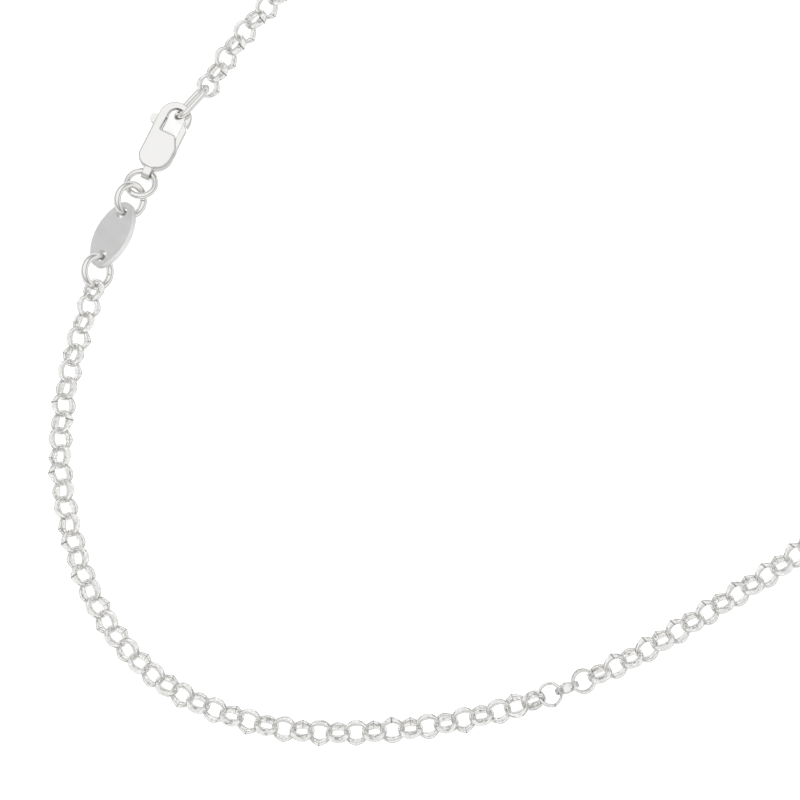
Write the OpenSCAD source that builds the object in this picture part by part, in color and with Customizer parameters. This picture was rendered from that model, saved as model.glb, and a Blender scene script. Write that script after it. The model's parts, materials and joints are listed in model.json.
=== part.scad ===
// Rolo chain necklace in millimetres, laid flat on z = 0, as a closed loop.
// Round links run from the chain ring to the end ring, and a lever clasp closes the loop.

/* [Chain] */
// Outside diameter of a round link
link_od = 4.1; // [3.8:0.05:4.4]
// Wall of a link, from its hole to its outside
link_wall = 0.47; // [0.42:0.01:0.52]
// Width of a link's band, along its axis
link_band = 0.92; // [0.8:0.02:1.0]
// Clearance between a link and the wire that it holds
link_clearance = 0.22; // [0.2:0.01:0.26]

/* [Rings] */
// Wire of the clasp's ring
clasp_ring_wire = 1.05; // [0.9:0.05:1.1]
// Inside diameter of the clasp's ring
clasp_ring_hole = 3.8; // [3.7:0.02:4]
// Wire of the two rings that hold the tag
tag_ring_wire = 1.2; // [1.0:0.05:1.25]
// Inside diameter of the two rings that hold the tag
tag_ring_hole = 4.0; // [3.9:0.02:4.2]
// Wire of the long end ring
end_ring_wire = 1.0; // [0.85:0.05:1.05]
// Inside length of the long end ring
end_ring_length = 6.2; // [6:0.02:6.6]
// Inside width of the long end ring
end_ring_width = 2.5; // [2.4:0.02:2.7]

/* [Tag] */
// Length of the oval tag
tag_length = 12.3; // [11.8:0.1:13]
// Width of the oval tag
tag_width = 7.5; // [7:0.1:7.8]
// Thickness of the tag
tag_thickness = 1.0; // [0.8:0.05:1.05]
// Diameter of each hole in the tag
tag_hole = 2.1; // [2.0:0.02:2.3]
// Radius of the tag's two ends
tag_end_r = 2.2; // [2:0.05:2.5]
// Metal between a tag hole and the tag's end
tag_rim = 0.95; // [0.85:0.05:1.2]

/* [Clasp] */
// Width of the clasp's body
clasp_width = 5.6; // [5.4:0.05:5.9]
// Length of the body, from its tail to the throat of the hook
clasp_body_length = 6.85; // [6.6:0.05:7.1]
// Thickness of the body
clasp_thickness = 2.8; // [2.6:0.05:3]
// Height of the hook above the throat, to its outer top
hook_height = 5.8; // [5.6:0.05:6.1]
// Thickness of the hook's bar, seen from above
hook_bar = 1.15; // [1:0.05:1.25]
// Thickness of the hook's bar at its top, seen from the side
hook_top_thickness = 1.0; // [0.9:0.05:1.4]
// How much wider the spine is than the hook's bar
spine_extra = 0.4; // [0:0.05:0.5]
// Thickness of the lever
lever_thickness = 1.0; // [0.8:0.05:1.1]
// Clearance on each side of the lever
lever_clearance = 0.1; // [0.08:0.01:0.14]
// Diameter of the lever's pin
pin_diameter = 0.9; // [0.8:0.05:1]
// Running clearance of the lever's bore around its pin
pin_clearance = 0.04; // [0.02:0.01:0.08]

/* [Hidden] */
$fn = 96;

silver = [0.86, 0.86, 0.84];
satin_silver = [0.72, 0.72, 0.71];

// Where the clasp lies: its body's middle, its heading and the rise of its hook
clasp_at = [-62.04, 22.75];
clasp_heading = 64.5;
clasp_rise = 3;
// The body's tail rests just above the surface
clasp_mid_z = clasp_thickness / 2 + 0.33;

// Clasp outline, in the clasp's own frame: x across, y from the tail to the hook
clasp_side = clasp_width / 2;
tail_y = -4.8;
throat_y = tail_y + clasp_body_length;
tail_corner = 2.0;
// Shoulder beside the throat: how far it is cut back across and along the body
shoulder = [1.2, 2.2];
// How far the spine is rooted in the body
spine_root = 0.5;
// How far a cut runs on past the metal that it goes through
overcut = 0.5;
hook_top_y = throat_y + hook_height;
hook_outer_r = clasp_side;
hook_y = hook_top_y - hook_outer_r;
hook_side = hook_outer_r - hook_bar;
hook_inner_r = hook_side - spine_extra / 2;
hook_inner_x = spine_extra / 2;
hook_inner_y = hook_top_y - hook_bar - hook_inner_r;
spine_x = -hook_outer_r;
// Fall of the crowned faces from the middle to the sides, and where the taper to the hook starts
crown_drop = 0.22;
taper_y = throat_y - 1;

// Oblique face that ends the hook's nose, and the gap between it and the lever
nose_angle = -48;
nose_inset = 0.1;
nose_drop = 2.55;
nose_at = [hook_side - nose_inset, hook_top_y - nose_drop];
nose_gap = 0.15;
mouth_x = hook_side / 3;

// Lever: a gate under the nose, an arm across the body and a thumb knob past the spine
lever_boss_r = 0.88;
pivot = [clasp_side - lever_boss_r, throat_y - 2.15];
arm_width = 0.9;
arm_end = [spine_x + 0.8, throat_y - 1.2];
knob_r = 0.87;
knob_at = [spine_x - 0.25, throat_y + 1.45];
slot_margin = 0.2;
slot_top = knob_at.y + knob_r + lever_clearance;
slot_bottom = pivot.y - lever_boss_r - slot_margin;
slot_height = lever_thickness + 2 * lever_clearance;
// The slot falls towards the spine, to leave room for the lever's arm as it opens
slot_fall = 0.9;

// Gate of the lever: how far its sides lie inside the sides of the hook's bar
gate_inner_inset = 0.1;
gate_outer_inset = 0.02;
// Side of the block that cuts the gate's oblique end
gate_cut = 8;

// The pin's blind bore ends inside the upper cheek, and the pin ends inside the lower one
pin_cover = 0.35;
pin_top = clasp_thickness / 2 - pin_cover;
pin_bottom = -clasp_thickness / 2 + crown_drop;

// Eyelet at the tail, with its hole across the clasp
eyelet_width = 1.5;
eyelet_play = 0.25;
eyelet_hole_r = clasp_ring_wire / 2 + eyelet_play;
eyelet_wall = 0.36;
eyelet_stand = 0.05;
eyelet_neck = 2;
eyelet_y = tail_y - eyelet_hole_r - eyelet_stand;

// Mean radius of each ring, to the middle of its wire
clasp_ring_r = (clasp_ring_hole + clasp_ring_wire) / 2;
tag_ring_r = (tag_ring_hole + tag_ring_wire) / 2;
link_r = (link_od - link_wall) / 2;
link_hole_r = link_od / 2 - link_wall;

// How each piece of the loop lies: its heading, its rise and its roll, in degrees
clasp_ring_pose = [-116, 12, 4];
tag_ring_pose = [-120, 4, -42];
tag_pose = [66.7, 0.1, -31];
chain_ring_pose = [-98, -8, -42];
end_ring_pose = [49.5, 0.4, -58.5];

// Heading and rise from each piece to the next one
clasp_ring_to_tag_ring = [-118, 7.7];
tag_ring_to_hole = [-116, 0.2];
hole_to_chain_ring = [-107, -0.5];
chain_ring_to_chain = [-101, -13];
end_ring_to_chain = [50, 0];

// How far past the middle of the eyelet's hole the clasp's ring lies
eyelet_ring_shift = 0.06;
// Where the end ring's wire passes through the hook, from the middle of the hook's opening
hook_ring_shift = [0.4, -0.02, 0.18];

// How far short of pulled tight the pieces lie
ring_slack = 0.38;
hole_slack = 0.09;
chain_slack = 0.39;
end_slack = 0.5;

// Unit vector along a heading and a rise, in degrees
function along(heading, rise = 0) =
    [cos(heading) * cos(rise), sin(heading) * cos(rise), sin(rise)];

// Height of the nose's oblique face at a place across the clasp
function nose_y(x) = nose_at.y + (x - nose_at.x) * tan(nose_angle);

// Right-hand side of a heading, on the surface
function right_of(heading) = [sin(heading), -cos(heading), 0];

// Place in the loop of a point given in the clasp's own frame
function clasp_point(p) =
    [clasp_at.x, clasp_at.y, clasp_mid_z]
    + p.x * right_of(clasp_heading)
    + p.y * along(clasp_heading, clasp_rise)
    + p.z * cross(right_of(clasp_heading), along(clasp_heading, clasp_rise));

// Centres of the pieces from the clasp's tail to the chain's first link
clasp_ring_seat = clasp_point([0, eyelet_y + eyelet_ring_shift, 0]);
clasp_ring_at = clasp_ring_seat + clasp_ring_r * along(clasp_ring_pose[0], clasp_ring_pose[1]);
tag_ring_at = clasp_ring_at + (clasp_ring_hole / 2 + tag_ring_hole / 2 - ring_slack)
    * along(clasp_ring_to_tag_ring[0], clasp_ring_to_tag_ring[1]);
tag_hole_offset = tag_length / 2 - tag_rim - tag_hole / 2;
tag_axis = along(tag_pose[0], tag_pose[1]);
tag_at = tag_ring_at + (tag_ring_r + hole_slack) * along(tag_ring_to_hole[0], tag_ring_to_hole[1])
    - tag_hole_offset * tag_axis;
chain_ring_at = tag_at - tag_hole_offset * tag_axis
    + (tag_ring_r + hole_slack) * along(hole_to_chain_ring[0], hole_to_chain_ring[1]);
chain_start = chain_ring_at + (tag_ring_hole / 2 + link_hole_r - chain_slack)
    * along(chain_ring_to_chain[0], chain_ring_to_chain[1]);

// Centres of the pieces from the clasp's hook to the chain's last link
hook_seat = clasp_point([0, hook_inner_y, 0] + hook_ring_shift);
end_ring_at = hook_seat
    + (end_ring_length + end_ring_wire) / 2 * along(end_ring_pose[0], end_ring_pose[1]);
chain_end = end_ring_at + (end_ring_length / 2 + link_hole_r - end_slack)
    * along(end_ring_to_chain[0], end_ring_to_chain[1]);

// The chain's route between its first and last links, chosen by hand
chain_route = [
    [-76.6, -17.4], [-77.7, -31.9], [-75.1, -46.1], [-70.7, -57.1], [-63.6, -66.2],
    [-53.9, -72.7], [-40, -76.8], [-25.5, -77.2], [-11, -75.2], [3, -71.1],
    [15.9, -65.3], [28.5, -57.8], [43.2, -48.3], [56, -37.2], [66.9, -23.5],
    [74.6, -6.9], [77.7, 11.9], [75.3, 31.2], [66.9, 49.3], [53.3, 63.9],
    [36, 73.5], [16.9, 77.3], [-1.8, 75.5], [-18.8, 69], [-33, 59.3],
    [-44.7, 47.5], [-50, 40.6]
];

// How far the chain is turned about its own line, at shares of its length
// Columns: share of the length, turn in degrees
chain_turn = [
    [0, 0], [0.157, 0], [0.184, -5], [0.289, -5], [0.2955, 8], [0.303, 24], [0.3095, 42],
    [0.316, 56], [0.322, 68], [0.3285, 78], [0.335, 85], [0.42, 85], [0.5, 90], [1, 90]
];
// Short steps between two neighbouring points of the route
route_steps = 12;

// One point of the smooth curve through four points, between the middle two
function curve_point(a, b, c, d, t) =
    0.5 * (2 * b + (c - a) * t + (2 * a - 5 * b + 4 * c - d) * t * t
        + (3 * b - a - 3 * c + d) * t * t * t);

route_ends = concat(
    [[chain_start.x, chain_start.y]],
    chain_route,
    [[chain_end.x, chain_end.y]]
);
route_last = len(route_ends) - 1;
route_wide = concat(
    [2 * route_ends[0] - route_ends[1]],
    route_ends,
    [2 * route_ends[route_last] - route_ends[route_last - 1]]
);
route_curve = concat(
    [for (i = [0 : route_last - 1], k = [0 : route_steps - 1])
        curve_point(route_wide[i], route_wide[i + 1], route_wide[i + 2], route_wide[i + 3],
            k / route_steps)],
    [route_ends[route_last]]
);
route_gaps = [for (i = [1 : len(route_curve) - 1]) norm(route_curve[i] - route_curve[i - 1])];
route_far = concat([0], [for (i = 0, far = route_gaps[0]; i < len(route_gaps);
    i = i + 1, far = far + (i < len(route_gaps) ? route_gaps[i] : 0)) far]);
route_x = [for (i = [0 : len(route_curve) - 1]) [route_far[i], route_curve[i].x]];
route_y = [for (i = [0 : len(route_curve) - 1]) [route_far[i], route_curve[i].y]];
route_length = route_far[len(route_far) - 1];

// Longest spacing at which a link still clears the band of the next one
link_pitch = link_hole_r + link_wall / 2 + sqrt(
    pow(link_hole_r - link_clearance - link_wall / 2, 2) - pow((link_band - link_wall) / 2, 2));
// An odd number of links, so that both ends of the chain turn the same way
link_count = 1 + 2 * ceil(route_length / link_pitch / 2 - 0.02);
link_step = route_length / (link_count - 1);

// Place of the chain's line at a length along it
function route_at(far) = [lookup(far, route_x), lookup(far, route_y)];

// Roll of a link about the chain's line: neighbours stand square to each other
function link_roll(i) = (i % 2 == 0 ? 45 : -45) + lookup(i / (link_count - 1), chain_turn);

// Lowest reach of a link below its centre at a roll
function link_reach(roll) = link_r * abs(sin(roll))
    + (link_band - link_wall) / 2 * abs(cos(roll)) + link_wall / 2;

// The chain's lowest links lie this far above the surface
link_rest_gap = 0.01;

// Puts a piece at a centre, with its own x axis along a heading and a rise
module pose(centre, heading, rise = 0, roll = 0) {
    translate(centre)
    rotate([0, 0, heading])
    rotate([0, -rise, 0])
    rotate([roll, 0, 0])
    children();
}

// Puts a piece in the clasp's own frame
module in_clasp() {
    translate([clasp_at.x, clasp_at.y, clasp_mid_z])
    rotate([0, 0, clasp_heading - 90])
    rotate([clasp_rise, 0, 0])
    children();
}

// Round ring of round wire, flat around z
module wire_ring(mean_r, wire) {
    rotate_extrude()
    translate([mean_r, 0])
    circle(d = wire, $fn = 48);
}

// Round link with a full-round band, flat around z
module link() {
    rotate_extrude()
    translate([link_r, 0]) {
        square([link_wall, link_band - link_wall], center = true);
        for (side = [-1, 1])
            translate([0, side * (link_band - link_wall) / 2])
            circle(d = link_wall, $fn = 32);
    }
}

// Outline of the clasp's cheeks and hook, seen from above
module clasp_outline() {
    difference() {
        union() {
            // Body with a tight and an easy corner at its tail
            translate([0, tail_y + clasp_side])
            circle(r = clasp_side);
            translate([tail_corner - clasp_side, tail_y + tail_corner])
            circle(r = tail_corner);
            translate([tail_corner - clasp_side, tail_y])
            square([clasp_side - tail_corner, clasp_side]);
            polygon([
                [-clasp_side, tail_y + tail_corner], [clasp_side, tail_y + clasp_side],
                [clasp_side, throat_y - shoulder.y], [clasp_side - shoulder.x, throat_y],
                [-clasp_side, throat_y]
            ]);
            // Spine and hook
            translate([spine_x, throat_y - spine_root])
            square([hook_bar + spine_extra, hook_y - throat_y + spine_root]);
            translate([0, hook_y])
            circle(r = hook_outer_r);
        }
        // Opening of the hook
        translate([hook_inner_x, hook_inner_y])
        circle(r = hook_inner_r);
        translate([hook_inner_x - hook_inner_r, throat_y])
        square([2 * hook_inner_r, hook_inner_y - throat_y]);
        // Mouth that the lever closes
        polygon([
            [mouth_x, throat_y], [clasp_width, throat_y],
            [clasp_width, nose_y(clasp_width)], [mouth_x, nose_y(mouth_x)]
        ]);
    }
}

module clasp_body() {
    color(silver)
    in_clasp()
    difference() {
        union() {
            intersection() {
                linear_extrude(clasp_thickness, center = true)
                clasp_outline();
                clasp_taper();
                clasp_crown();
            }
            // Eyelet
            translate([-eyelet_width / 2, 0, 0])
            rotate([90, 0, 90])
            linear_extrude(eyelet_width) {
                translate([eyelet_y, 0])
                circle(r = eyelet_hole_r + eyelet_wall);
                translate([eyelet_y, -eyelet_hole_r - eyelet_wall])
                square([eyelet_neck, 2 * (eyelet_hole_r + eyelet_wall)]);
            }
        }
        lever_slot();
        // Hole across the eyelet
        translate([-eyelet_width, eyelet_y, 0])
        rotate([0, 90, 0])
        cylinder(r = eyelet_hole_r, h = 2 * eyelet_width);
        // Blind bore of the pin, from below
        translate([pivot.x, pivot.y, -clasp_thickness])
        cylinder(d = pin_diameter, h = clasp_thickness + pin_top);
    }
}

// Side profile: full thickness at the body, thinner towards the top of the hook
module clasp_taper() {
    half = clasp_thickness / 2;
    thin = hook_top_thickness / 2;
    rotate([90, 0, 90])
    linear_extrude(2 * clasp_width, center = true)
    polygon([
        [tail_y - overcut, -half], [taper_y, -half], [hook_top_y, -thin],
        [hook_top_y, thin], [taper_y, half], [tail_y - overcut, half]
    ]);
}

// Crowned faces: two large arcs that meet beyond the sides
module clasp_crown() {
    crown_r = (clasp_side * clasp_side + crown_drop * crown_drop) / (2 * crown_drop);
    rotate([90, 0, 0])
    linear_extrude(8 * clasp_width, center = true)
    intersection() {
        translate([0, clasp_thickness / 2 - crown_r])
        circle(r = crown_r, $fn = 360);
        translate([0, crown_r - clasp_thickness / 2])
        circle(r = crown_r, $fn = 360);
    }
}

// Slot between the cheeks, where the lever moves
module lever_slot() {
    linear_extrude(slot_height, center = true) {
        polygon([
            [-clasp_width, slot_bottom - slot_fall], [pivot.x - lever_boss_r, slot_bottom],
            [clasp_width, slot_bottom], [clasp_width, throat_y + overcut],
            [-clasp_width, throat_y + overcut]
        ]);
        translate([-clasp_width, throat_y])
        square([clasp_width + hook_inner_x - hook_inner_r + slot_margin, slot_top - throat_y]);
    }
}

module clasp_pin() {
    color(silver)
    in_clasp()
    translate([pivot.x, pivot.y, pin_bottom])
    cylinder(d = pin_diameter, h = pin_top - pin_bottom);
}

module clasp_lever() {
    gate_side = hook_side + gate_inner_inset;
    gate_out = hook_outer_r - gate_outer_inset;
    color(silver)
    in_clasp()
    difference() {
        linear_extrude(lever_thickness, center = true) {
            // Gate, ended parallel to the nose
            difference() {
                translate([gate_side, pivot.y])
                square([gate_out - gate_side, hook_y - pivot.y]);
                translate([nose_at.x, nose_at.y])
                rotate([0, 0, nose_angle])
                translate([-gate_cut / 2, -nose_gap])
                square(gate_cut);
            }
            translate(pivot)
            circle(r = lever_boss_r);
            // Arm across the body and up the spine
            arm_angle = atan2(arm_end.y - pivot.y, arm_end.x - pivot.x);
            translate(pivot)
            rotate([0, 0, arm_angle])
            translate([0, -arm_width / 2])
            square([norm(arm_end - pivot), arm_width]);
            translate(arm_end)
            circle(d = arm_width);
            translate([arm_end.x - arm_width / 2, arm_end.y])
            square([arm_width, knob_at.y - arm_end.y]);
            translate([arm_end.x, knob_at.y])
            circle(d = arm_width);
            translate([knob_at.x, knob_at.y - arm_width / 2])
            square([arm_end.x - knob_at.x, arm_width]);
            translate(knob_at)
            circle(r = knob_r);
        }
        translate([pivot.x, pivot.y, -lever_thickness])
        cylinder(d = pin_diameter + 2 * pin_clearance, h = 2 * lever_thickness);
    }
}

module clasp_ring() {
    color(silver)
    pose(clasp_ring_at, clasp_ring_pose[0], clasp_ring_pose[1], clasp_ring_pose[2])
    wire_ring(clasp_ring_r, clasp_ring_wire);
}

module tag_ring() {
    color(silver)
    pose(tag_ring_at, tag_ring_pose[0], tag_ring_pose[1], tag_ring_pose[2])
    wire_ring(tag_ring_r, tag_ring_wire);
}

// Oval tag of two long arcs and two end arcs and a hole at each end
module tag() {
    end_x = tag_length / 2 - tag_end_r;
    side_r = (end_x * end_x + tag_width * tag_width / 4 - tag_end_r * tag_end_r)
        / (tag_width - 2 * tag_end_r);
    meet_x = end_x * side_r / (side_r - tag_end_r);
    color(satin_silver)
    pose(tag_at, tag_pose[0], tag_pose[1], tag_pose[2])
    linear_extrude(tag_thickness, center = true)
    difference() {
        union() {
            intersection() {
                translate([0, tag_width / 2 - side_r])
                circle(r = side_r, $fn = 240);
                translate([0, side_r - tag_width / 2])
                circle(r = side_r, $fn = 240);
                square([2 * meet_x, tag_width], center = true);
            }
            for (side = [-1, 1])
                translate([side * end_x, 0])
                circle(r = tag_end_r);
        }
        for (side = [-1, 1])
            translate([side * tag_hole_offset, 0])
            circle(d = tag_hole);
    }
}

module chain_ring() {
    color(silver)
    pose(chain_ring_at, chain_ring_pose[0], chain_ring_pose[1], chain_ring_pose[2])
    wire_ring(tag_ring_r, tag_ring_wire);
}

// Long ring with straight sides, its long axis along x
module end_ring() {
    end_r = (end_ring_width + end_ring_wire) / 2;
    straight = end_ring_length - end_ring_width;
    color(silver)
    pose(end_ring_at, end_ring_pose[0], end_ring_pose[1], end_ring_pose[2]) {
        for (side = [-1, 1]) {
            translate([side * straight / 2, 0])
            rotate([0, 0, side < 0 ? 90 : -90])
            rotate_extrude(angle = 180)
            translate([end_r, 0])
            circle(d = end_ring_wire, $fn = 48);
            translate([-straight / 2, side * end_r, 0])
            rotate([0, 90, 0])
            cylinder(d = end_ring_wire, h = straight);
        }
    }
}

module rolo_chain() {
    color(silver)
    for (i = [0 : link_count - 1]) {
        here = route_at(i * link_step);
        ahead = route_at(min(i + 1, link_count - 1) * link_step);
        behind = route_at(max(i - 1, 0) * link_step);
        roll = link_roll(i);
        heading = atan2(ahead.y - behind.y, ahead.x - behind.x);
        // A link rests on the surface or hangs between its neighbours
        beside = (link_reach(link_roll(i - 1)) + link_reach(link_roll(i + 1))) / 2;
        lift = max(link_reach(45), link_reach(roll), beside) + link_rest_gap;
        pose([here.x, here.y, lift], heading, 0, roll)
        link();
    }
}

clasp_body();
clasp_pin();
clasp_lever();
clasp_ring();
tag_ring();
tag();
chain_ring();
rolo_chain();
end_ring();
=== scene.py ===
import json
import math

import bmesh
import bpy
import numpy as np
from bpy.props import FloatProperty, FloatVectorProperty, IntProperty, PointerProperty
from mathutils import Matrix, Vector

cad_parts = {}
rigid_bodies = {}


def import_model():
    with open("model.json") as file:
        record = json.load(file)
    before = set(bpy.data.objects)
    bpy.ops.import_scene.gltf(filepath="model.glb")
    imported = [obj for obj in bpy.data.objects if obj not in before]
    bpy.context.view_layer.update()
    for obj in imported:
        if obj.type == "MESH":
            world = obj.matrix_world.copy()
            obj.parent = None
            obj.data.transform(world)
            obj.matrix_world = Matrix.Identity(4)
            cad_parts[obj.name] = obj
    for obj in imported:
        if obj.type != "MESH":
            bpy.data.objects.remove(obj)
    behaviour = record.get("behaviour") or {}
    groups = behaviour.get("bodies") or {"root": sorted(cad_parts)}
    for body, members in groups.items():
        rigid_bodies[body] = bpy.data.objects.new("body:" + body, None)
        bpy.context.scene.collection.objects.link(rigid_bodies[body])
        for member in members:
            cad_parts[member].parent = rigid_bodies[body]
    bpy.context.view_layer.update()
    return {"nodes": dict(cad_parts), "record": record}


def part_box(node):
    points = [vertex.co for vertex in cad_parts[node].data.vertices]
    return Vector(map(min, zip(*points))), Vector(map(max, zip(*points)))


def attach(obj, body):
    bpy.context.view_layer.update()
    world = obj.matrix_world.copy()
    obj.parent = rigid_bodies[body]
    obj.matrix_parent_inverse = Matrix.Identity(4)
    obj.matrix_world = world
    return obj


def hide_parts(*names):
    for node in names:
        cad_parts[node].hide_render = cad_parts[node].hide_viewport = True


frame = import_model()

bl_info = {
    "name": "Rolo chain necklace",
    "version": (1, 0, 0),
    "blender": (4, 5, 0),
    "location": "3D view > Sidebar > Necklace",
    "description": "Dresses the necklace's metal parts and sets its stage",
    "category": "Object",
}

# One millimetre in metres
MM = 0.001

# Points of a CAD node that lie closer than this, in metres, are one point
SAME_POINT = 1e-7
# Decimals of a metre to which the points of a ring are told apart
POINT_DECIMALS = 8

# Points round the section of a link's band, and how square it is (1 is an ellipse, 0 a rectangle)
BAND_POINTS = 16
BAND_SQUARENESS = 0.5
# How far the corner at a link's seam reaches to each side, in radians, and how sharply it rises
CORNER_REACH = 0.42
CORNER_SHARPNESS = 1.3
# How closely a link's points crowd at its corner, from 0, evenly spread, to 1
CORNER_CROWDING = 0.6
# What is left of a corner that was filed nearly flush
FLUSH_SHARE = 0.25
# How far a link may be turned in its own plane either way, in radians
LINK_SPIN = 0.12

# Links whose solder seam stands on the other side than the rule gives
TURNED_SEAMS = (7, 8, 11, 15, 17, 38, 47)
# Links on which the seam was filed nearly flush
FLUSH_SEAMS = (
    0, 1, 2, 5, 6, 9, 12, 13, 16, 18, 22, 24, 27, 28, 31, 32, 35, 36, 40, 41, 43, 44, 46, 49, 50, 52,
)
# From this link on, behind the chain's twist, all seams stand on one side
TWIST_LINK = 48

# Radius of a ring's bends as a share of its width, just short of the half at which they would meet
BEND_SHARE = 0.4998

# Millimetres from the lever's pivot towards the hook, and how freely the clasp is rounded off there
SHOULDER_FAR = (-5.3, -4.6, 1.8, 4.0)
SHOULDER_SHARE = (0.35, 1.0, 1.0, 0.3)
# Strength of one round of softening
SOFTENING = 0.5

# Noise patterns on the metal: how fine each is, and how rich in detail
CLOUDS = {"Scale": 420.0, "Detail": 4.0}
GRAIN = {"Scale": 2600.0, "Detail": 3.0}
DENTS = {"Scale": 1300.0, "Detail": 1.5}
HAIRLINES = {"Scale": 1.0, "Detail": 2.0}
BRUSH_MARKS = {"Scale": 1.0, "Detail": 4.0}
SATIN_CLOUDS = {"Scale": 500.0}
# Direction of the hairlines, and how many there are to a metre along each axis
HAIRLINE_MAP = {"Rotation": (0.3, 0.5, 0.9), "Scale": (900.0, 9000.0, 3000.0)}
# Size of one brush mark on the tag, in metres
BRUSH_MARK_SIZE = (0.0011, 0.00009, 0.0011)
# How deep each pattern is, in metres, and how strongly it shows
GRAIN_RELIEF = {"Strength": 0.10, "Distance": 0.00004}
HAIRLINE_RELIEF = {"Strength": 0.06, "Distance": 0.00002}
BRUSH_RELIEF = {"Strength": 0.25, "Distance": 0.00003}

# Stretch of the clouds' values that changes the roughness, and the shares of it that they reach
CLOUD_STRETCH = (0.3, 0.7)
POLISH_SPREAD = (0.7, 1.5)
BRUSHING_SPREAD = (0.85, 1.2)
# Pointiness in a crease, on a flat face and on a rubbed edge
CREASE = 0.40
FLAT = 0.50
EDGE = 0.58
# Upward share of a face's normal at or below which it is fully in painted wall shade, and at or above which
# it has none
WALL_SHADE_STRETCH = (0.15, 0.88)
# Colour of the tag's rubbed edges, and how much the brush marks tint its face
RUBBED_SILVER = (0.99, 0.99, 0.985)
BRUSH_TINT = 0.12

# Half the floor's width in metres, and how its paper takes the light
FLOOR_REACH = 1.5
PAPER_ROUGHNESS = 0.9
PAPER_GLOSS = 0.1
# Up direction of the tent, which leans a little so that the two sides of a wire differ
TENT_UP = (-0.10, 0.05, 1.0)
# The tent's levels: height from straight below, 0, to straight above, 1, and brightness there
TENT_LEVELS = (
    (0.0, 0.92), (0.08, 0.56), (0.18, 0.32), (0.28, 0.80), (0.36, 1.05), (0.45, 0.78), (0.53, 0.72),
    (0.58, 1.0), (0.64, 0.56), (0.73, 0.33), (0.83, 0.60), (0.92, 0.90), (1.0, 0.91),
)
TENT_POWER = 1.16
# Soft panels: name, place in metres and power in watts
PANELS = (
    ("key_panel", (-0.55, 0.40, 0.80), 2.2),
    ("fill_panel", (0.45, 0.60, 0.80), 1.6),
    ("front_panel", (0.15, -0.80, 0.75), 1.6),
)
PANEL_SIZE = 0.25
# Width of the camera's sensor in millimetres, and the nearest and furthest that it sees, in metres
SENSOR_WIDTH = 36.0
SIGHT = (0.01, 10.0)


class ChainSettings(bpy.types.PropertyGroup):
    """Sizes of the chain's links"""

    link_diameter: FloatProperty(
        name="Link diameter", description="Outside diameter of a round link", default=0.0041, unit="LENGTH"
    )
    link_wall: FloatProperty(
        name="Link wall", description="From a link's hole to its outside", default=0.00049, unit="LENGTH"
    )
    link_band: FloatProperty(
        name="Link band", description="Width of a link's band along its axis", default=0.00102, unit="LENGTH"
    )
    side_swell: FloatProperty(
        name="Side swell", description="How much wider the band is at a link's two sides, as a share",
        default=0.40,
    )
    seam_height: FloatProperty(
        name="Seam height", description="How far the corner at the solder seam stands out",
        default=0.00014, unit="LENGTH",
    )
    steps: IntProperty(name="Steps", description="Steps round one link", default=40, min=12)
    seed: IntProperty(name="Seed", description="Seed of the small differences between links", default=7)


class FindingSettings(bpy.types.PropertyGroup):
    """How the cast and stamped pieces are finished"""

    cell: FloatProperty(
        name="Cell", description="Size of the cells that round the clasp's edges",
        default=0.00006, unit="LENGTH",
    )
    rounds: IntProperty(
        name="Tumbling", description="Rounds of tumbling that soften the clasp's edges", default=10
    )
    shoulder_rounds: IntProperty(
        name="Shoulder", description="Rounds that round off the shoulder of the clasp's body", default=160
    )
    tag_rounds: IntProperty(
        name="Tag tumbling", description="Rounds that soften the tag's edges", default=4
    )
    wire_steps: IntProperty(name="Wire steps", description="Steps round a ring's wire", default=28)
    bend_steps: IntProperty(name="Bend steps", description="Steps in a quarter turn of a ring", default=28)


class FinishSettings(bpy.types.PropertyGroup):
    """Colours and polish of the metal"""

    silver: FloatVectorProperty(
        name="Silver", description="Colour of the polished silver", subtype="COLOR",
        default=(0.84, 0.835, 0.82),
    )
    # Also the painted shade on the side walls of the clasp's lever and pin, and the colour of the rings'
    # solder seams
    shade: FloatVectorProperty(
        name="Tarnish", description="Colour of the silver in its creases", subtype="COLOR",
        default=(0.50, 0.485, 0.45),
    )
    solder: FloatVectorProperty(
        name="Solder", description="Colour of the links' solder seams", subtype="COLOR",
        default=(0.20, 0.19, 0.17),
    )
    # Painted shade on the side walls of the clasp's body
    skin: FloatVectorProperty(
        name="Painted wall shade", description="Colour of the clasp's side walls", subtype="COLOR",
        default=(0.52, 0.51, 0.49),
    )
    satin: FloatVectorProperty(
        name="Satin", description="Colour of the satin tag", subtype="COLOR", default=(0.93, 0.93, 0.925)
    )
    polish: FloatProperty(name="Polish", description="Roughness of the polished silver", default=0.07)
    brushing: FloatProperty(name="Brushing", description="Roughness of the satin tag", default=0.36)
    link_dents: FloatProperty(
        name="Link dents", description="Depth of the links' dents", default=0.0002, unit="LENGTH"
    )
    ring_dents: FloatProperty(
        name="Ring dents", description="Depth of the rings' dents", default=0.00001, unit="LENGTH"
    )


class StageSettings(bpy.types.PropertyGroup):
    """Floor, light and camera"""

    floor: FloatVectorProperty(
        name="Floor", description="Colour of the floor", subtype="COLOR", default=(0.93, 0.93, 0.93)
    )
    target: FloatVectorProperty(
        name="Target", description="Point of the floor that the camera looks at", subtype="TRANSLATION",
        default=(-0.0216, -0.0217, 0.0),
    )
    table_light: FloatProperty(name="Table light", description="Light from below the floor", default=0.5)
    elevation: FloatProperty(
        name="Elevation", description="Camera's angle above the floor", subtype="ANGLE",
        default=math.radians(76),
    )
    distance: FloatProperty(
        name="Distance", description="Camera's distance from its target", default=0.45, unit="LENGTH"
    )
    lens: FloatProperty(name="Lens", description="Focal length in millimetres", default=121.5)


def add_node(tree, kind, inputs=(), **settings):
    """Adds a node to a tree, with its settings, and its inputs set or linked"""
    node = tree.nodes.new(kind)
    for key, value in settings.items():
        setattr(node, key, value)
    for key, value in dict(inputs).items():
        if isinstance(value, bpy.types.NodeSocket):
            tree.links.new(value, node.inputs[key])
        else:
            node.inputs[key].default_value = value
    return node


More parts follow.
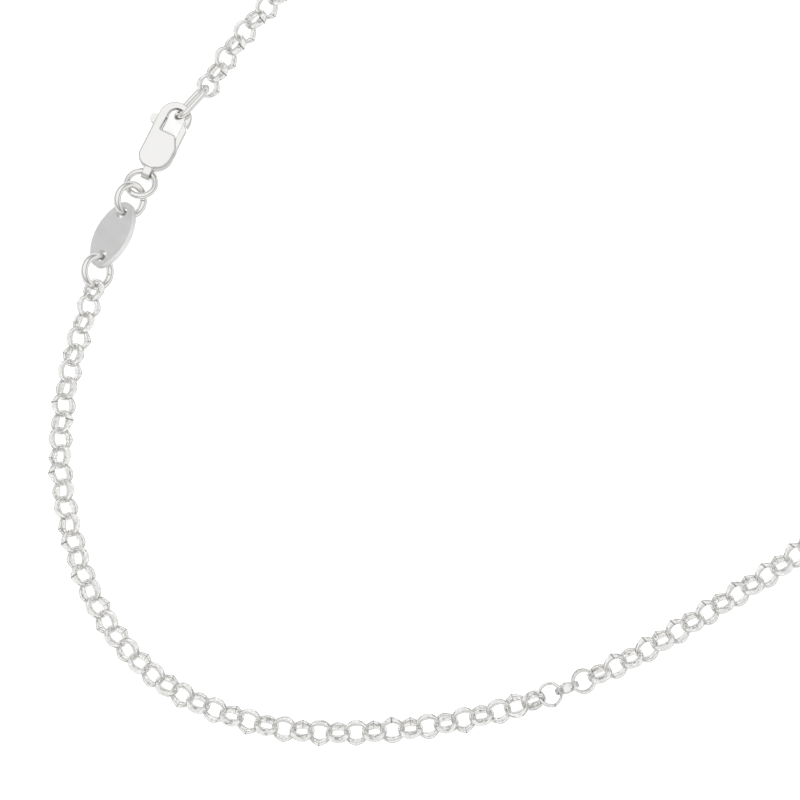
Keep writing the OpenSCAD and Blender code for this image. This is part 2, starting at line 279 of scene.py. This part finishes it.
class Tree:
    """A geometry tree with named inputs, and short calls for its steps"""

    def __init__(self, name, inputs):
        self.tree = bpy.data.node_groups.new(name, "GeometryNodeTree")
        self.tree.interface.new_socket("Geometry", in_out="INPUT", socket_type="NodeSocketGeometry")
        self.ids = {
            label: self.tree.interface.new_socket(label, in_out="INPUT", socket_type=kind).identifier
            for label, kind in inputs
        }
        self.tree.interface.new_socket("Geometry", in_out="OUTPUT", socket_type="NodeSocketGeometry")
        self.given = self.tree.nodes.new("NodeGroupInput").outputs
        self.out = self.tree.nodes.new("NodeGroupOutput")

    def node(self, kind, inputs=(), **settings):
        return add_node(self.tree, kind, inputs, **settings)

    def math(self, operation, a, b=0.0):
        return self.node("ShaderNodeMath", {0: a, 1: b}, operation=operation).outputs[0]

    def times(self, a, b):
        return self.math("MULTIPLY", a, b)

    def circle(self, points, radius):
        """Flat round curve"""
        size = {"Resolution": points, "Radius": radius}
        return self.node("GeometryNodeCurvePrimitiveCircle", size, mode="RADIUS").outputs[0]

    def moved(self, geometry, x=0.0, y=0.0, z=0.0, way="Position"):
        """Geometry whose points go to a worked-out place, or by a worked-out Offset"""
        place = self.node("ShaderNodeCombineXYZ", {"X": x, "Y": y, "Z": z}).outputs[0]
        return self.node("GeometryNodeSetPosition", {0: geometry, way: place}).outputs[0]

    def marked(self, geometry, name, value, data_type="FLOAT"):
        """Geometry whose points carry a named value"""
        return self.node(
            "GeometryNodeStoreNamedAttribute", {0: geometry, "Name": name, "Value": value},
            data_type=data_type, domain="POINT",
        ).outputs[0]

    def swept(self, route, section):
        """Solid that follows a flat closed route with a section"""
        level = self.node("GeometryNodeSetCurveNormal", {0: route}, mode="Z_UP").outputs[0]
        return self.node("GeometryNodeCurveToMesh", {"Curve": level, "Profile Curve": section}).outputs[0]

    def finished(self, geometry):
        """Ends the tree of a metal piece, shaded smooth and with its finish"""
        smooth = self.node("GeometryNodeSetShadeSmooth", {0: geometry}).outputs[0]
        dress = {0: smooth, "Material": self.given["Finish"]}
        return self.ended(self.node("GeometryNodeSetMaterial", dress).outputs[0])

    def ended(self, geometry):
        """Ends the tree"""
        self.tree.links.new(geometry, self.out.inputs[0])
        return self


def helper_object(name, mesh):
    """Object that carries modifiers while a mesh is made"""
    helper = bpy.data.objects.new(name, mesh)
    bpy.context.scene.collection.objects.link(helper)
    return helper


def made_by(helper):
    """Plain mesh that a helper's modifiers make, after which the helper is removed"""
    bpy.context.view_layer.update()
    made = bpy.data.meshes.new_from_object(helper.evaluated_get(bpy.context.evaluated_depsgraph_get()))
    helper.modifiers.clear()
    bpy.data.objects.remove(helper)
    return made


def run_tree(tree, mesh, values):
    """Plain mesh that a geometry tree makes from a start mesh and its named inputs"""
    helper = helper_object("tree_making", mesh)
    modifier = helper.modifiers.new("Make", "NODES")
    modifier.node_group = tree.tree
    for label, value in values.items():
        modifier[tree.ids[label]] = value
    return made_by(helper)


def add_piece(name, mesh, body, node):
    """Puts a finished mesh in the scene as the piece that stands for a CAD node"""
    if not mesh.polygons:
        raise RuntimeError(f"{name} came out empty")
    mesh.name = name
    piece = bpy.data.objects.new(name, mesh)
    bpy.context.scene.collection.objects.link(piece)
    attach(piece, body)
    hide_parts(node)


def points_of(mesh):
    """Points of a mesh, one a row"""
    points = np.empty(len(mesh.vertices) * 3)
    mesh.vertices.foreach_get("co", points)
    return points.reshape(-1, 3)


def merged_copy(node):
    """Copy of a CAD node's mesh whose loose triangles share their points"""
    mesh = frame["nodes"][node].data.copy()
    whole = bmesh.new()
    whole.from_mesh(mesh)
    bmesh.ops.remove_doubles(whole, verts=whole.verts, dist=SAME_POINT)
    whole.to_mesh(mesh)
    whole.free()
    return mesh


def main_axes(points):
    """Axes of a solid, one a column, from its shortest to its longest"""
    return np.linalg.eigh(np.cov(points.T))[1]


def turn_to(out, axis):
    """Turn that takes x to a piece's outward or long axis, and z to its short one"""
    return Matrix((out, axis.cross(out), axis)).transposed()


def island_tree():
    """Numbers the loose solids of a CAD node"""
    t = Tree("Number solids", [("Join", "NodeSocketFloat")])
    reach = {0: t.given["Geometry"], "Distance": t.given["Join"]}
    joined = t.node("GeometryNodeMergeByDistance", reach).outputs[0]
    island = t.node("GeometryNodeInputMeshIsland").outputs["Island Index"]
    return t.ended(t.marked(joined, "solid", island, "INT"))


def solids_of(node):
    """Centre and short axis of each loose solid of a CAD node"""
    mesh = run_tree(island_tree(), frame["nodes"][node].data.copy(), {"Join": SAME_POINT})
    points = points_of(mesh)
    numbers = np.empty(len(mesh.vertices), dtype=np.int32)
    mesh.attributes["solid"].data.foreach_get("value", numbers)
    found = []
    for number in range(numbers.max() + 1):
        own = points[numbers == number]
        axes = main_axes(own - own.mean(0))
        # Opposite points of a round solid are equally far from its centre
        reach = own @ axes
        centre = axes @ (reach.max(0) + reach.min(0)) / 2
        found.append((Vector(centre), Vector(axes[:, 0])))
    bpy.data.meshes.remove(mesh)
    return found


def chain_order(solids, start):
    """The links one after the other, from the one nearest to a start point"""
    rest = list(solids)
    here = start
    ordered = []
    while rest:
        nearest = min(rest, key=lambda solid: (solid[0] - here).length)
        rest.remove(nearest)
        ordered.append(nearest)
        here = nearest[0]
    return ordered


def link_places(links):
    """A point for each link, with the link's turn and whether its seam was filed flush"""
    last = len(links) - 1
    mesh = bpy.data.meshes.new("link_places")
    mesh.from_pydata([centre for centre, _ in links], [], [])
    mesh.attributes.new("link_turn", "QUATERNION", "POINT")
    mesh.attributes.new("flush", "INT", "POINT")
    turned, flush = mesh.attributes["link_turn"], mesh.attributes["flush"]
    for i, (_, axis) in enumerate(links):
        heading = (links[min(i + 1, last)][0] - links[max(i - 1, 0)][0]).normalized()
        axis = (axis - heading * axis.dot(heading)).normalized()
        out = axis.cross(heading).normalized()
        # Odd and even links have their seams on opposite sides of the chain up to its twist
        left = Vector((-heading.y, heading.x, 0.0))
        wanted_left = (i % 2 == 1 or i >= TWIST_LINK) != (i in TURNED_SEAMS)
        if (out.dot(left) > 0) != wanted_left:
            out = -out
        turned.data[i].value = turn_to(out, axis).to_quaternion()
        flush.data[i].value = int(i in FLUSH_SEAMS)
    return mesh


def band_section(t, spot):
    """Section of a link's band: a domed rectangle, drawn as a squared-off ellipse"""
    squared = []
    for side, size in ((spot["X"], t.given["Link Wall"]), (spot["Y"], t.given["Link Band"])):
        reach = t.math("POWER", t.math("ABSOLUTE", side), BAND_SQUARENESS)
        squared.append(t.times(t.times(t.math("SIGN", side), reach), t.times(size, 0.5)))
    return t.moved(t.circle(BAND_POINTS, 1.0), *squared)


def one_link(t, spot, section, corner):
    """A round link whose solder corner has a share of its full height"""
    given = t.given
    mean_r = t.times(t.math("SUBTRACT", given["Link Diameter"], given["Link Wall"]), 0.5)
    index = t.node("GeometryNodeInputIndex").outputs[0]
    turn = t.math("DIVIDE", t.times(index, math.tau), given["Steps"])
    angle = t.math("SUBTRACT", turn, t.times(t.math("SINE", turn), CORNER_CROWDING))
    from_corner = t.math("MINIMUM", angle, t.math("SUBTRACT", math.tau, angle))
    peak = t.math("MAXIMUM", t.math("SUBTRACT", 1.0, t.math("DIVIDE", from_corner, CORNER_REACH)), 0.0)
    peak = t.math("POWER", peak, CORNER_SHARPNESS)
    radius = t.math("ADD", mean_r, t.times(t.times(peak, given["Seam Height"]), corner))
    route = t.moved(
        t.circle(given["Steps"], mean_r),
        t.times(radius, t.math("COSINE", angle)), t.times(radius, t.math("SINE", angle)),
    )
    # Only the first point, at the corner, is soldered
    route = t.marked(route, "seam", t.times(t.math("LESS_THAN", index, 0.5), corner))
    # The band is widest at the link's two sides, where no other link passes through
    side = t.math("DIVIDE", spot["X"], mean_r)
    side = t.times(side, side)
    swell = t.times(t.times(side, side), given["Side Swell"])
    return t.moved(t.swept(route, section), z=t.times(spot["Z"], swell), way="Offset")


def link_tree():
    """One round link with a solder seam, placed on every point"""
    t = Tree("Rolo links", [
        ("Link Diameter", "NodeSocketFloat"), ("Link Wall", "NodeSocketFloat"),
        ("Link Band", "NodeSocketFloat"), ("Side Swell", "NodeSocketFloat"),
        ("Seam Height", "NodeSocketFloat"), ("Steps", "NodeSocketInt"), ("Seed", "NodeSocketInt"),
        ("Finish", "NodeSocketMaterial"),
    ])
    here = t.node("GeometryNodeInputPosition").outputs[0]
    spot = t.node("ShaderNodeSeparateXYZ", {0: here}).outputs
    section = band_section(t, spot)
    kinds = t.node("GeometryNodeJoinGeometry")
    # The last kind that is joined comes first in the list that the points pick from
    for corner in (FLUSH_SHARE, 1.0):
        kind = t.node("GeometryNodeGeometryToInstance", {0: one_link(t, spot, section, corner)})
        t.tree.links.new(kind.outputs[0], kinds.inputs[0])
    flush = t.node("GeometryNodeInputNamedAttribute", {"Name": "flush"}, data_type="INT")
    turned = t.node("GeometryNodeInputNamedAttribute", {"Name": "link_turn"}, data_type="QUATERNION")
    lively = t.node(
        "FunctionNodeRandomValue", {"Min": -LINK_SPIN, "Max": LINK_SPIN, "Seed": t.given["Seed"]},
        data_type="FLOAT",
    )
    spin = t.node("ShaderNodeCombineXYZ", {"Z": lively.outputs["Value"]})
    spin = t.node("FunctionNodeEulerToRotation", {0: spin.outputs[0]})
    rotation = t.node(
        "FunctionNodeRotateRotation", {0: turned.outputs["Attribute"], 1: spin.outputs[0]},
        rotation_space="LOCAL",
    )
    placed = t.node("GeometryNodeInstanceOnPoints", {
        "Points": t.given["Geometry"], "Instance": kinds.outputs[0], "Pick Instance": True,
        "Instance Index": flush.outputs["Attribute"], "Rotation": rotation.outputs[0],
    })
    plain = t.node("GeometryNodeRealizeInstances", {0: placed.outputs[0]}).outputs[0]
    # Corners and edges that would reach below the surface are worn flat on it
    return t.finished(t.moved(plain, spot["X"], spot["Y"], t.math("MAXIMUM", spot["Z"], 0.0)))


def ring_tree():
    """A closed ring of round wire, round or long"""
    t = Tree("Wire ring", [
        ("Length", "NodeSocketFloat"), ("Width", "NodeSocketFloat"), ("Wire", "NodeSocketFloat"),
        ("Bend Steps", "NodeSocketInt"), ("Wire Steps", "NodeSocketInt"), ("Finish", "NodeSocketMaterial"),
    ])
    given = t.given
    length = t.math("ADD", given["Length"], given["Wire"])
    width = t.math("ADD", given["Width"], given["Wire"])
    sides = {"Width": length, "Height": width}
    route = t.node("GeometryNodeCurvePrimitiveQuadrilateral", sides, mode="RECTANGLE").outputs[0]
    bends = {
        0: route, "Radius": t.times(width, BEND_SHARE), "Count": given["Bend Steps"], "Limit Radius": True,
    }
    route = t.node("GeometryNodeFilletCurve", bends, mode="POLY").outputs[0]
    # Only the first point, where a bend begins, is soldered
    index = t.node("GeometryNodeInputIndex").outputs[0]
    route = t.marked(route, "seam", t.math("LESS_THAN", index, 0.5))
    wire = t.circle(given["Wire Steps"], t.times(given["Wire"], 0.5))
    return t.finished(t.swept(route, wire))


def spread(tree, value, given, wanted):
    """Value taken from one stretch to another, and kept within it"""
    ends = {"From Min": given[0], "From Max": given[1], "To Min": wanted[0], "To Max": wanted[1]}
    return add_node(tree, "ShaderNodeMapRange", {"Value": value, **ends}).outputs["Result"]


def two_tones(tree, value, low, high):
    """Colour that goes from one tone to another, each given with the value that it stands at"""
    ramp = add_node(tree, "ShaderNodeValToRGB", {"Fac": value})
    for element, (position, colour) in zip(ramp.color_ramp.elements, (low, high)):
        element.position = position
        element.color = (*colour, 1.0)
    return ramp.outputs["Color"]


def noise(tree, vector, pattern):
    """Noise node with one of the patterns"""
    return add_node(tree, "ShaderNodeTexNoise", {"Vector": vector, **pattern})


def raised(tree, height, relief, under=None):
    """Surface direction after a relief, on top of another relief where there is one"""
    bump = add_node(tree, "ShaderNodeBump", {"Height": height, **relief})
    if under is not None:
        tree.links.new(under, bump.inputs["Normal"])
    return bump.outputs["Normal"]


def metal(name):
    """A plain metal material, its tree, its shader's inputs, and the place and shape of its surface"""
    material = bpy.data.materials.new(name)
    material.use_nodes = True
    tree = material.node_tree
    shader = tree.nodes["Principled BSDF"].inputs
    shader["Metallic"].default_value = 1.0
    place = add_node(tree, "ShaderNodeTexCoord").outputs["Object"]
    surface = add_node(tree, "ShaderNodeNewGeometry").outputs
    return material, tree, shader, place, surface


def polished_silver(name, seam_or_wall_shade, soldered=False, dents=0.0):
    """Bright silver: cloudy polish, hairlines, greyer creases, stained at its solder line or given painted
    shade on its side walls
    """
    # Each kind of piece has one material, which is made the first time it is asked for
    made = bpy.data.materials.get(name)
    if made:
        return made
    finish = bpy.context.scene.necklace_finish
    material, tree, shader, place, surface = metal(name)
    # Creases keep a little tarnish, which the edges lose to wear
    worn = two_tones(tree, surface["Pointiness"], (CREASE, finish.shade), (FLAT, finish.silver))
    if soldered:
        seam_or_wall_shade_mask = add_node(tree, "ShaderNodeAttribute", attribute_name="seam").outputs["Fac"]
    else:
        # Painted shade: side walls take the wall shade colour, fully where upright and fading out as they
        # turn up
        upright = add_node(tree, "ShaderNodeSeparateXYZ", {0: surface["Normal"]}).outputs["Z"]
        seam_or_wall_shade_mask = spread(tree, upright, WALL_SHADE_STRETCH, (1.0, 0.0))
    # The solder seam's dark line, or the painted shade on the side walls, over the silver
    tones = {"Factor": seam_or_wall_shade_mask, "A": worn, "B": (*seam_or_wall_shade, 1.0)}
    tone = add_node(tree, "ShaderNodeMix", tones, data_type="RGBA")
    tree.links.new(tone.outputs["Result"], shader["Base Color"])
    clouds = noise(tree, place, CLOUDS).outputs["Fac"]
    roughness = [finish.polish * share for share in POLISH_SPREAD]
    tree.links.new(spread(tree, clouds, CLOUD_STRETCH, roughness), shader["Roughness"])
    relief = None
    if dents:
        # Bent wire shows the marks of the pliers that closed it
        marks = noise(tree, place, DENTS).outputs["Fac"]
        relief = raised(tree, marks, {"Strength": 1.0, "Distance": dents})
    relief = raised(tree, noise(tree, place, GRAIN).outputs["Fac"], GRAIN_RELIEF, relief)
    along_hairs = add_node(tree, "ShaderNodeMapping", {"Vector": place, **HAIRLINE_MAP}).outputs["Vector"]
    hairs = noise(tree, along_hairs, HAIRLINES).outputs["Fac"]
    tree.links.new(raised(tree, hairs, HAIRLINE_RELIEF, relief), shader["Normal"])
    return material


def satin_silver(name, turn):
    """Satin silver: brushed along the tag, with brighter rubbed edges"""
    finish = bpy.context.scene.necklace_finish
    material, tree, shader, place, surface = metal(name)
    streaks = {"Vector": place, "Rotation": turn, "Scale": BRUSH_MARK_SIZE}
    along = add_node(tree, "ShaderNodeMapping", streaks, vector_type="TEXTURE").outputs["Vector"]
    brush = noise(tree, along, BRUSH_MARKS).outputs
    rubbed = two_tones(tree, surface["Pointiness"], (FLAT, finish.satin), (EDGE, RUBBED_SILVER))
    tones = {"Factor": BRUSH_TINT, "A": rubbed, "B": brush["Color"]}
    tint = add_node(tree, "ShaderNodeMix", tones, data_type="RGBA", blend_type="MULTIPLY")
    tree.links.new(tint.outputs["Result"], shader["Base Color"])
    clouds = noise(tree, place, SATIN_CLOUDS).outputs["Fac"]
    roughness = [finish.brushing * share for share in BRUSHING_SPREAD]
    tree.links.new(spread(tree, clouds, CLOUD_STRETCH, roughness), shader["Roughness"])
    tree.links.new(raised(tree, brush["Fac"], BRUSH_RELIEF), shader["Normal"])
    return material


class NECKLACE_OT_chain(bpy.types.Operator):
    """Makes the round links of the chain, each through the next"""

    bl_idname = "necklace.chain"
    bl_label = "Rolo chain"

    def execute(self, context):
        size = context.scene.necklace_chain
        finish = context.scene.necklace_finish
        lo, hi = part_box("chain_ring")
        links = chain_order(solids_of("rolo_chain"), (lo + hi) / 2)
        made = run_tree(link_tree(), link_places(links), {
            "Link Diameter": size.link_diameter, "Link Wall": size.link_wall, "Link Band": size.link_band,
            "Side Swell": size.side_swell, "Seam Height": size.seam_height, "Steps": size.steps,
            "Seed": size.seed,
            "Finish": polished_silver("polished_silver_links", finish.solder, True, finish.link_dents),
        })
        add_piece("rolo_chain_links", made, "necklace", "rolo_chain")
        return {"FINISHED"}


def ring_frame(node):
    """Centre of a ring or plate, its axes from the shortest to the longest, and its sizes along them"""
    points = np.unique(points_of(frame["nodes"][node].data).round(POINT_DECIMALS), axis=0)
    axes = main_axes(points - points.mean(0))
    reach = points @ axes
    centre = axes @ (reach.max(0) + reach.min(0)) / 2
    return Vector(centre), [Vector(axis) for axis in axes.T], np.ptp(reach, axis=0)


class NECKLACE_OT_rings(bpy.types.Operator):
    """Makes the jump rings and the long end ring from round wire"""

    bl_idname = "necklace.rings"
    bl_label = "Wire rings"

    def execute(self, context):
        size = context.scene.necklace_findings
        finish = context.scene.necklace_finish
        tree = ring_tree()
        for node in ("clasp_ring", "tag_ring", "chain_ring", "end_ring"):
            centre, (axis, _, long), (wire, width, length) = ring_frame(node)
            # All rings but the end ring are round, so their two measures are one
            if node != "end_ring":
                width = length = (width + length) / 2
            made = run_tree(tree, bpy.data.meshes.new(node + "_start"), {
                "Length": float(length - 2 * wire), "Width": float(width - 2 * wire), "Wire": float(wire),
                "Bend Steps": size.bend_steps, "Wire Steps": size.wire_steps,
                "Finish": polished_silver("polished_silver_rings", finish.shade, True, finish.ring_dents),
            })
            made.transform(Matrix.Translation(centre) @ turn_to(long, axis).to_4x4())
            add_piece(node + "_wire", made, "necklace", node)
        return {"FINISHED"}


def softened(mesh, rounds, weights=None):
    """A mesh after rounds of smoothing, as strong at each point as its weight"""
    helper = helper_object("softening", mesh)
    soft = helper.modifiers.new("Soften", "SMOOTH")
    soft.factor = SOFTENING
    soft.iterations = rounds
    if weights is not None:
        group = helper.vertex_groups.new(name="strength")
        for index, weight in enumerate(weights):
            group.add([index], float(weight), "REPLACE")
        soft.vertex_group = group.name
    return made_by(helper)


def clasp_weights(mesh):
    """How far each point of the clasp may be rounded off: the body freely, its hook and eyelet little"""
    hinge = frame["record"]["behaviour"]["joints"][0]
    pivot, up = Vector(hinge["pos_m"]) / MM, Vector(hinge["axis"]).normalized()
    tail, tip = [sum(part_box(node), Vector()) / 2 / MM for node in ("clasp_ring", "end_ring")]
    forward = tip - tail
    forward = (forward - up * forward.dot(up)).normalized()
    far = (points_of(mesh) - np.array(pivot)) @ np.array(forward)
    return np.interp(far, SHOULDER_FAR, SHOULDER_SHARE)


def tumbled(node, cell, rounds, shoulder_rounds=0):
    """A cast piece with its edges softened as in a tumbler, and its shoulder rounded off before that"""
    mesh = merged_copy(node)
    # Remeshing works on sizes near one, so the piece is worked on in millimetres
    mesh.transform(Matrix.Scale(1 / MM, 4))
    helper = helper_object(node + "_making", mesh)
    cells = helper.modifiers.new("Cells", "REMESH")
    cells.mode = "VOXEL"
    cells.voxel_size = cell / MM
    cells.use_smooth_shade = True
    made = made_by(helper)
    if shoulder_rounds:
        made = softened(made, shoulder_rounds, clasp_weights(made))
    made = softened(made, rounds)
    made.transform(Matrix.Scale(MM, 4))
    made.materials.clear()
    return made


class NECKLACE_OT_clasp(bpy.types.Operator):
    """Finishes the clasp's body and its lever as tumbled castings, and the pin that holds them"""

    bl_idname = "necklace.clasp"
    bl_label = "Lever clasp"

    def execute(self, context):
        size = context.scene.necklace_findings
        finish = context.scene.necklace_finish
        # Each cast piece's side walls get painted shade: the body in its own wall shade colour, the lever in
        # the tarnish colour
        for node, body, skin, shoulder_rounds in (
            ("clasp_body", "necklace", finish.skin, size.shoulder_rounds),
            ("clasp_lever", "lever", finish.shade, 0),
        ):
            made = tumbled(node, size.cell, size.rounds, shoulder_rounds)
            made.materials.append(polished_silver("polished_silver_" + node, skin))
            add_piece(node + "_cast", made, body, node)
        # The pin takes the lever's material, with painted shade on its side walls too
        pin = frame["nodes"]["clasp_pin"]
        pin.data.materials.clear()
        pin.data.materials.append(polished_silver("polished_silver_clasp_lever", finish.shade))
        return {"FINISHED"}


class NECKLACE_OT_tag(bpy.types.Operator):
    """Finishes the oval tag with rounded edges and a satin face"""

    bl_idname = "necklace.tag"
    bl_label = "Oval tag"

    def execute(self, context):
        size = context.scene.necklace_findings
        _, (axis, _, long), _ = ring_frame("tag")
        made = tumbled("tag", size.cell, size.tag_rounds)
        made.materials.append(satin_silver("satin_silver_tag", turn_to(long, axis).to_euler()))
        add_piece("tag_plate", made, "necklace", "tag")
        return {"FINISHED"}


def add_floor(scene, stage):
    """White paper, lit from below too, which keeps it white under the links"""
    mesh = bpy.data.meshes.new("floor")
    corners = [(x * FLOOR_REACH, y * FLOOR_REACH, 0) for x, y in ((-1, -1), (1, -1), (1, 1), (-1, 1))]
    mesh.from_pydata(corners, [], [(0, 1, 2, 3)])
    floor = bpy.data.objects.new("floor", mesh)
    scene.collection.objects.link(floor)
    paper = bpy.data.materials.new("white_paper")
    paper.use_nodes = True
    shader = paper.node_tree.nodes["Principled BSDF"].inputs
    shader["Base Color"].default_value = (*stage.floor, 1.0)
    shader["Roughness"].default_value = PAPER_ROUGHNESS
    shader["Specular IOR Level"].default_value = PAPER_GLOSS
    shader["Emission Color"].default_value = (1.0, 1.0, 1.0, 1.0)
    shader["Emission Strength"].default_value = stage.table_light
    mesh.materials.append(paper)
    # The tent's world, not the table, is what the metal mirrors below the horizon
    floor.visible_glossy = False


def add_tent(scene):
    """Light tent: a world with bright and grey bands, which the metal mirrors"""
    world = bpy.data.worlds.new("light_tent")
    scene.world = world
    scene.view_settings.view_transform = "Standard"
    world.use_nodes = True
    tree = world.node_tree
    place = add_node(tree, "ShaderNodeTexCoord").outputs["Generated"]
    up = {0: place, 1: Vector(TENT_UP).normalized()}
    along = add_node(tree, "ShaderNodeVectorMath", up, operation="DOT_PRODUCT").outputs["Value"]
    ramp = add_node(tree, "ShaderNodeValToRGB", {"Fac": spread(tree, along, (-1.0, 1.0), (0.0, 1.0))})
    while len(ramp.color_ramp.elements) < len(TENT_LEVELS):
        ramp.color_ramp.elements.new(0.5)
    for element, (height, level) in zip(ramp.color_ramp.elements, TENT_LEVELS):
        element.position = height
        element.color = (level, level, level, 1.0)
    background = tree.nodes["Background"]
    tree.links.new(ramp.outputs["Color"], background.inputs["Color"])
    background.inputs["Strength"].default_value = TENT_POWER


def add_panels(scene):
    """Soft panels above the necklace, which the metal doesn't mirror"""
    for name, place, power in PANELS:
        data = bpy.data.lights.new(name, "AREA")
        data.size = PANEL_SIZE
        data.energy = power
        panel = bpy.data.objects.new(name, data)
        panel.location = place
        panel.rotation_euler = Vector(place).to_track_quat("Z", "Y").to_euler()
        panel.visible_glossy = False
        scene.collection.objects.link(panel)


def add_camera(scene, stage):
    """Camera at the photo's angle, aimed at its target from the front"""
    data = bpy.data.cameras.new("camera")
    data.sensor_width = SENSOR_WIDTH
    data.lens = stage.lens
    data.clip_start, data.clip_end = SIGHT
    camera = bpy.data.objects.new("camera", data)
    back = Vector((0.0, -math.cos(stage.elevation), math.sin(stage.elevation)))
    camera.location = Vector(stage.target) + back * stage.distance
    camera.rotation_euler = (math.pi / 2 - stage.elevation, 0.0, 0.0)
    scene.collection.objects.link(camera)
    scene.camera = camera


class NECKLACE_OT_stage(bpy.types.Operator):
    """Sets the floor, the studio light and the camera"""

    bl_idname = "necklace.stage"
    bl_label = "Stage"

    def execute(self, context):
        stage = context.scene.necklace_stage
        add_floor(context.scene, stage)
        add_tent(context.scene)
        add_panels(context.scene)
        add_camera(context.scene, stage)
        return {"FINISHED"}


STEPS = (NECKLACE_OT_stage, NECKLACE_OT_chain, NECKLACE_OT_rings, NECKLACE_OT_clasp, NECKLACE_OT_tag)
SETTINGS = (
    ("necklace_chain", ChainSettings), ("necklace_findings", FindingSettings),
    ("necklace_finish", FinishSettings), ("necklace_stage", StageSettings),
)


class NECKLACE_PT_panel(bpy.types.Panel):
    """Sizes, finishes and steps of the necklace"""

    bl_idname = "NECKLACE_PT_panel"
    bl_label = "Necklace"
    bl_space_type = "VIEW_3D"
    bl_region_type = "UI"
    bl_category = "Necklace"

    def draw(self, context):
        for name, _ in SETTINGS:
            settings = getattr(context.scene, name)
            box = self.layout.box()
            for key in settings.__annotations__:
                box.prop(settings, key)
        for operator in STEPS:
            self.layout.operator(operator.bl_idname)


def register():
    for name, group in SETTINGS:
        bpy.utils.register_class(group)
        setattr(bpy.types.Scene, name, PointerProperty(type=group))
    for operator in STEPS:
        bpy.utils.register_class(operator)
    bpy.utils.register_class(NECKLACE_PT_panel)


def unregister():
    bpy.utils.unregister_class(NECKLACE_PT_panel)
    for operator in reversed(STEPS):
        bpy.utils.unregister_class(operator)
    for name, group in reversed(SETTINGS):
        delattr(bpy.types.Scene, name)
        bpy.utils.unregister_class(group)


def main():
    register()
    bpy.ops.necklace.stage()
    bpy.ops.necklace.chain()
    bpy.ops.necklace.rings()
    bpy.ops.necklace.clasp()
    bpy.ops.necklace.tag()


if __name__ == "__main__":
    main()
